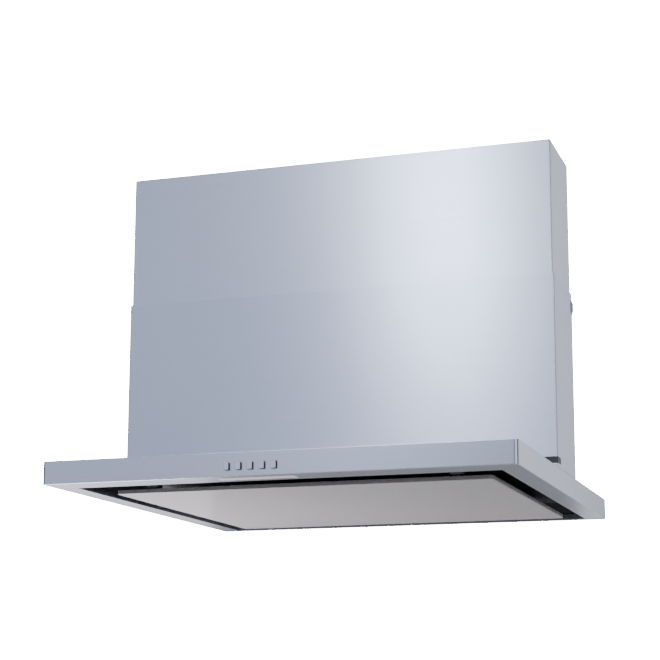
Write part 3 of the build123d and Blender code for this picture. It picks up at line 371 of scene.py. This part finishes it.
# ---- Chimney covers ----------------------------------------------------------------------------
# Two telescoping covers of the same brushed sheet, with flat rear panels screwed to their folded
# returns and a small folded catch plate high at each rear edge of the lower one.

upper_stainless = brushed_sheet(
    "upper_stainless", anisotropy=0.62, roughness=0.28,
    dark=(0.535, 0.580, 0.720), light=(0.625, 0.670, 0.815),
)
# The lower cover's copy is painted a little darker than the upper's: painted shade on the lower
# cover.
lower_stainless_painted_shade = brushed_sheet(
    "lower_stainless_painted_shade", anisotropy=0.62, roughness=0.28,
    dark=(0.500, 0.540, 0.680), light=(0.590, 0.630, 0.775),
)
dress(upper_stainless, "upper_cover", "upper_rear_panel")
dress(lower_stainless_painted_shade, "lower_cover", "lower_rear_panel", "side_catch_left", "side_catch_right")


# ---- Liner of the suction space ----------------------------------------------------------------
# An inner tray above the rim, painted near-black as painted shade, so that the narrow slots show
# as deep shade. Its surface is matt and slightly pebbled.

black_liner_painted_shade, coat_tree, coat_shader = new_material("black_liner_painted_shade", Specular_IOR_Level=0.35)
coat_rub = use_group(coat_tree, handling, Scale=9.0)
coat_edge = use_group(coat_tree, edge_wear, Radius=0.0010, Patchiness=0.8)
# Near-black tone: painted shade inside the slots, with paler worn edges over it.
liner_shade_and_wear_tone = tint(
    coat_tree, coat_rub.outputs["Cloud"], (0.018, 0.018, 0.021), (0.030, 0.030, 0.034)
)
liner_shade_and_wear_tone = tint_over(coat_tree, liner_shade_and_wear_tone, coat_edge.outputs["Edge"], 0.4, (0.16, 0.16, 0.165))
coat_rough = vary(coat_tree, coat_rub.outputs["Cloud"], 0.15, 0.48)
coat_place = add_node(coat_tree, "ShaderNodeTexCoord")
coat_pebble = add_node(coat_tree, "ShaderNodeTexNoise", in_Scale=900.0, in_Detail=2.0)
coat_tree.links.new(liner_shade_and_wear_tone, coat_shader.inputs["Base Color"])
coat_tree.links.new(coat_rough, coat_shader.inputs["Roughness"])
coat_tree.links.new(coat_place.outputs["Object"], coat_pebble.inputs["Vector"])
relief(coat_tree, coat_shader, coat_pebble.outputs["Fac"], 0.00006, 0.6)
dress(black_liner_painted_shade, "plenum_liner")


# ---- Baffle panel ------------------------------------------------------------------------------
# A shallow steel tray in pale warm enamel that closes the mouth but for the slots. The fired
# coat is glossy, lies over a faint orange peel, and thins along the folded edges.

enamel, enamel_tree, enamel_shader = new_material(
    "panel_enamel", Coat_Weight=0.35, Coat_Roughness=0.14
)
enamel_rub = use_group(enamel_tree, handling, Scale=2.2)
enamel_edge = use_group(enamel_tree, edge_wear, Radius=0.0012, Patchiness=0.4)
enamel_tone = tint(
    enamel_tree, enamel_rub.outputs["Cloud"], (0.315, 0.301, 0.313), (0.345, 0.331, 0.343)
)
enamel_tone = tint_over(
    enamel_tree, enamel_tone, enamel_edge.outputs["Edge"], 0.35, (0.30, 0.29, 0.285)
)
enamel_rough = vary(enamel_tree, enamel_rub.outputs["Cloud"], 0.06, 0.44)
enamel_place = add_node(enamel_tree, "ShaderNodeTexCoord")
orange_peel = add_node(enamel_tree, "ShaderNodeTexNoise", in_Scale=220.0, in_Detail=1.0)
enamel_tree.links.new(enamel_tone, enamel_shader.inputs["Base Color"])
enamel_tree.links.new(enamel_rough, enamel_shader.inputs["Roughness"])
enamel_tree.links.new(enamel_place.outputs["Object"], orange_peel.inputs["Vector"])
relief(enamel_tree, enamel_shader, orange_peel.outputs["Fac"], 0.00004, 0.5)
dress(enamel, "baffle_panel")


# ---- Galvanised structure ----------------------------------------------------------------------
# Ceiling frame, struts, scroll, brackets and boxes are cut and folded from galvanised sheet, with
# the frosty grains of the zinc layer and bright cut edges.

spangle, spangle_in, spangle_out = new_group("spangle", ["Scale"], ["Grain", "Border"])
spangle_place = add_node(spangle, "ShaderNodeTexCoord")
grains = add_node(spangle, "ShaderNodeTexVoronoi")
borders = add_node(spangle, "ShaderNodeTexVoronoi", feature="DISTANCE_TO_EDGE")
for cells in (grains, borders):
    spangle.links.new(spangle_place.outputs["Object"], cells.inputs["Vector"])
    spangle.links.new(spangle_in.outputs["Scale"], cells.inputs["Scale"])
grain_value = add_node(spangle, "ShaderNodeSeparateColor")
border_mask = remap(spangle, borders.outputs["Distance"], 0.0, 0.08, 1.0, 0.0)
spangle.links.new(grains.outputs["Color"], grain_value.inputs[0])
spangle.links.new(grain_value.outputs[0], spangle_out.inputs["Grain"])
spangle.links.new(border_mask, spangle_out.inputs["Border"])


def galvanised_finish(name, scale, dark, light):
    """Zinc-coated sheet: each grain has its own tone and gloss, and cut edges are brighter."""
    material, tree, shader = new_material(name, Metallic=1.0)
    zinc = use_group(tree, spangle, Scale=scale)
    rub = use_group(tree, handling, Scale=7.0)
    bare = use_group(tree, edge_wear, Radius=0.0008, Patchiness=0.5)
    tone = tint(tree, zinc.outputs["Grain"], dark, light)
    tone = tint_over(tree, tone, bare.outputs["Edge"], 0.5, (0.80, 0.80, 0.80))
    tone = tint_over(tree, tone, rub.outputs["Speck"], 0.25, (0.45, 0.45, 0.44))
    rough = vary(tree, zinc.outputs["Grain"], 0.18, 0.34)
    rough = vary(tree, rub.outputs["Cloud"], 0.08, rough)
    tree.links.new(tone, shader.inputs["Base Color"])
    tree.links.new(rough, shader.inputs["Roughness"])
    relief(tree, shader, zinc.outputs["Border"], 0.00002, 0.4)
    return material


galvanised_sheet = galvanised_finish(
    "galvanised_sheet", scale=95.0, dark=(0.52, 0.53, 0.55), light=(0.66, 0.67, 0.69)
)
galvanised_wheel = galvanised_finish(
    "galvanised_wheel", scale=160.0, dark=(0.50, 0.51, 0.53), light=(0.62, 0.63, 0.65)
)
dress(
    galvanised_sheet, "throat_frame", "baffle_backing", "hinge_leaf_left", "hinge_leaf_right",
    "hinge_bracket_left", "hinge_bracket_right", "ceiling_frame", "lower_strut_left",
    "lower_strut_right", "upper_strut_left", "upper_strut_right", "scroll_wrap",
    "scroll_front_plate", "scroll_rear_plate", "motor_bracket", "blower_rail_front",
    "blower_rail_rear", "outlet_adaptor", "control_box", "control_box_lid",
)
dress(galvanised_wheel, "fan_wheel")


# ---- Filters and oil tray ----------------------------------------------------------------------
# Slatted filters and the trough between them are pressed from aluminium, with the fine draw lines
# of the rolled strip and a dull film where grease has been washed off.

pressed, pressed_tree, pressed_shader = new_material("pressed_aluminium", Metallic=1.0)
roll = use_group(pressed_tree, brushing, Length=0.12, Fineness=2600.0)
film = use_group(pressed_tree, handling, Scale=11.0)
pressed_edge = use_group(pressed_tree, edge_wear, Radius=0.0007, Patchiness=0.5)
pressed_tone = tint(pressed_tree, roll.outputs["Streak"], (0.66, 0.67, 0.68), (0.78, 0.79, 0.80))
pressed_tone = tint_over(
    pressed_tree, pressed_tone, film.outputs["Cloud"], 0.25, (0.52, 0.50, 0.46)
)
pressed_tone = tint_over(
    pressed_tree, pressed_tone, pressed_edge.outputs["Edge"], 0.5, (0.88, 0.88, 0.89)
)
pressed_rough = vary(pressed_tree, film.outputs["Cloud"], 0.15, 0.30)
pressed_tree.links.new(pressed_tone, pressed_shader.inputs["Base Color"])
pressed_tree.links.new(pressed_rough, pressed_shader.inputs["Roughness"])
relief(pressed_tree, pressed_shader, roll.outputs["Streak"], 0.00003, 0.5)
dress(pressed, "oil_tray", "grease_filter_left", "grease_filter_right")


# ---- Turned steel and plated hardware ----------------------------------------------------------
# Pins, studs and shafts are turned bright steel; screws, bolts and the wheel nut are zinc plated,
# with a faint yellow-blue cast and scuffs where a tool has been.

def metal_finish(name, scale, roughness, dark, light, worn):
    """Bare or plated metal part: cloudy tone, fine all-over scuffs and brighter edges."""
    material, tree, shader = new_material(name, Metallic=1.0)
    touch = use_group(tree, handling, Scale=scale)
    rubbed = use_group(tree, edge_wear, Radius=0.0005, Patchiness=0.4)
    tone = tint(tree, touch.outputs["Cloud"], dark, light)
    tone = tint_over(tree, tone, rubbed.outputs["Edge"], 0.6, worn)
    rough = vary(tree, touch.outputs["Speck"], 0.15, roughness)
    tree.links.new(tone, shader.inputs["Base Color"])
    tree.links.new(rough, shader.inputs["Roughness"])
    relief(tree, shader, touch.outputs["Speck"], 0.00002, 0.4)
    return material


turned_steel = metal_finish(
    "turned_steel", scale=60.0, roughness=0.24,
    dark=(0.52, 0.53, 0.55), light=(0.60, 0.61, 0.63), worn=(0.72, 0.73, 0.75),
)
zinc_plate = metal_finish(
    "zinc_plate", scale=45.0, roughness=0.28,
    dark=(0.60, 0.61, 0.60), light=(0.72, 0.71, 0.66), worn=(0.82, 0.82, 0.80),
)
dress(turned_steel, "hinge_pins", "latch_studs", "motor_shaft", "damper_shaft")
dress(zinc_plate, "lower_panel_screws", "strut_bolts", "wheel_nut")


# ---- Motor -------------------------------------------------------------------------------------
# A cast and painted motor body. The dark paint has a light texture and shows a little bare metal
# along its machined edges.

def painted_or_moulded(name, roughness, scale, depth, dark, light, worn):
    """Painted or moulded surface: fine texture in relief, cloudy tone and gloss, paler edges."""
    material, tree, shader = new_material(name, Specular_IOR_Level=0.45)
    touch = use_group(tree, handling, Scale=14.0)
    rubbed = use_group(tree, edge_wear, Radius=0.0006, Patchiness=0.6)
    tone = tint(tree, touch.outputs["Cloud"], dark, light)
    tone = tint_over(tree, tone, rubbed.outputs["Edge"], 0.45, worn)
    rough = vary(tree, touch.outputs["Cloud"], 0.10, roughness)
    where = add_node(tree, "ShaderNodeTexCoord")
    texture = add_node(tree, "ShaderNodeTexNoise", in_Scale=scale, in_Detail=2.0)
    tree.links.new(tone, shader.inputs["Base Color"])
    tree.links.new(rough, shader.inputs["Roughness"])
    tree.links.new(where.outputs["Object"], texture.inputs["Vector"])
    relief(tree, shader, texture.outputs["Fac"], depth, 0.7)
    return material


motor_paint = painted_or_moulded(
    "motor_paint", roughness=0.42, scale=420.0, depth=0.0001,
    dark=(0.045, 0.048, 0.052), light=(0.065, 0.068, 0.073), worn=(0.30, 0.30, 0.30),
)
dress(motor_paint, "motor")


# ---- Plastic parts -----------------------------------------------------------------------------
# Gland and switches are black nylon. Corner clips and button housing are near-black as well, as
# painted shade: the dark gap at the chimney's foot and the dark outline round each button. Catches,
# capacitor and lamp module are grey; collar and damper flap a black duct grade. All have the fine
# spark-eroded grain of the mould.

black_nylon_and_painted_shade = painted_or_moulded(
    "black_nylon_and_painted_shade", roughness=0.42, scale=1500.0, depth=0.00005,
    dark=(0.016, 0.020, 0.030), light=(0.026, 0.031, 0.044), worn=(0.12, 0.13, 0.15),
)
grey_polymer = painted_or_moulded(
    "grey_polymer", roughness=0.45, scale=1300.0, depth=0.00005,
    dark=(0.28, 0.29, 0.30), light=(0.34, 0.35, 0.36), worn=(0.50, 0.51, 0.52),
)
duct_polymer = painted_or_moulded(
    "duct_polymer", roughness=0.48, scale=900.0, depth=0.00007,
    dark=(0.040, 0.040, 0.043), light=(0.058, 0.058, 0.062), worn=(0.17, 0.17, 0.18),
)
# Corner clips and button housing: near-black painted shade. Gland and switches: black nylon.
dress(
    black_nylon_and_painted_shade, "corner_clip_left", "corner_clip_right", "cable_gland", "button_housing",
    "tactile_switches",
)
dress(grey_polymer, "latch_catch_left", "latch_catch_right", "capacitor", "lamp_module")
dress(duct_polymer, "duct_collar", "damper_flap")


# ---- Circuit boards ----------------------------------------------------------------------------
# Green lacquered laminate with copper tracks that show through the lacquer as paler, slightly
# raised lines on a square grid.

laminate, laminate_tree, laminate_shader = new_material("board_laminate", Coat_Weight=0.3)
laminate_place = add_node(laminate_tree, "ShaderNodeTexCoord")
laminate_turn = add_node(
    laminate_tree, "ShaderNodeMapping", in_Rotation=(math.radians(90.0), 0.0, 0.0)
)
tracks = add_node(
    laminate_tree, "ShaderNodeTexBrick", offset=0.37, in_Scale=1.0,
    in_Brick_Width=0.011, in_Row_Height=0.0031, in_Mortar_Size=0.00045,
    in_Color1=(0.018, 0.110, 0.050, 1.0), in_Color2=(0.026, 0.135, 0.062, 1.0),
    in_Mortar=(0.090, 0.230, 0.080, 1.0),
)
laminate_rub = use_group(laminate_tree, handling, Scale=20.0)
laminate_rough = vary(laminate_tree, laminate_rub.outputs["Cloud"], 0.1, 0.28)
laminate_tree.links.new(laminate_place.outputs["Object"], laminate_turn.inputs["Vector"])
laminate_tree.links.new(laminate_turn.outputs[0], tracks.inputs["Vector"])
laminate_tree.links.new(tracks.outputs["Color"], laminate_shader.inputs["Base Color"])
laminate_tree.links.new(laminate_rough, laminate_shader.inputs["Roughness"])
relief(laminate_tree, laminate_shader, tracks.outputs["Fac"], 0.00005, 0.6)
dress(laminate, "control_board", "switch_board")


# ---- Push buttons ------------------------------------------------------------------------------
# Five caps in a row, each with a thin satin metal front and standing in its own clearance hole in
# the front fold. Every other face of a cap is painted near-black, as painted shade on the caps'
# sides and in their gaps. The fronts are brushed across and polished by use.

button_metal, button_tree, button_shader = new_material("button_metal", Anisotropic=0.4)
button_brush = use_group(button_tree, brushing, Length=0.02, Fineness=5000.0)
button_edge = use_group(button_tree, edge_wear, Radius=0.0006, Patchiness=0.1)
button_facing = add_node(button_tree, "ShaderNodeTexCoord")
button_way = add_node(button_tree, "ShaderNodeSeparateXYZ")
button_tree.links.new(button_facing.outputs["Normal"], button_way.inputs[0])
# Only the front faces are metal; the rest is painted near-black: painted shade on the caps' sides.
plated = remap(button_tree, button_way.outputs["Y"], -0.80, -0.92, 0.0, 1.0)
painted_shade_sides = maths(button_tree, "SUBTRACT", 1.0, plated)
button_wear_and_shade_tone = tint(
    button_tree, button_brush.outputs["Streak"], (0.56, 0.60, 0.70), (0.66, 0.70, 0.79)
)
button_wear_and_shade_tone = tint_over(
    button_tree, button_wear_and_shade_tone, button_edge.outputs["Edge"], 0.5, (0.82, 0.85, 0.90)
)
button_wear_and_shade_tone = tint_over(button_tree, button_wear_and_shade_tone, painted_shade_sides, 1.0, (0.030, 0.033, 0.042))
button_rough = vary(button_tree, button_brush.outputs["Band"], 0.12, 0.26)
button_tree.links.new(button_wear_and_shade_tone, button_shader.inputs["Base Color"])
button_tree.links.new(plated, button_shader.inputs["Metallic"])
button_tree.links.new(button_rough, button_shader.inputs["Roughness"])
relief(button_tree, button_shader, button_brush.outputs["Streak"], 0.00002, 0.4)
dress(button_metal, *[f"button_{number}" for number in range(1, 6)])


# ---- Lamp --------------------------------------------------------------------------------------
# A frosted acrylic lens in the front rim, under the buttons, with fine ribs along its length that
# spread the light of the strip behind it.

lens, lens_tree, lens_shader = new_material("frosted_lens", Transmission_Weight=0.25, IOR=1.49)
lens_rub = use_group(lens_tree, handling, Scale=12.0)
lens_tone = tint(lens_tree, lens_rub.outputs["Cloud"], (0.76, 0.755, 0.735), (0.83, 0.825, 0.80))
lens_rough = vary(lens_tree, lens_rub.outputs["Cloud"], 0.08, 0.32)
lens_place = add_node(lens_tree, "ShaderNodeTexCoord")
ribs = add_node(lens_tree, "ShaderNodeTexWave", bands_direction="Y", in_Scale=260.0)
lens_tree.links.new(lens_tone, lens_shader.inputs["Base Color"])
lens_tree.links.new(lens_rough, lens_shader.inputs["Roughness"])
lens_tree.links.new(lens_place.outputs["Object"], ribs.inputs["Vector"])
relief(lens_tree, lens_shader, ribs.outputs["Fac"], 0.0001, 0.5)
dress(lens, "lamp_lens")
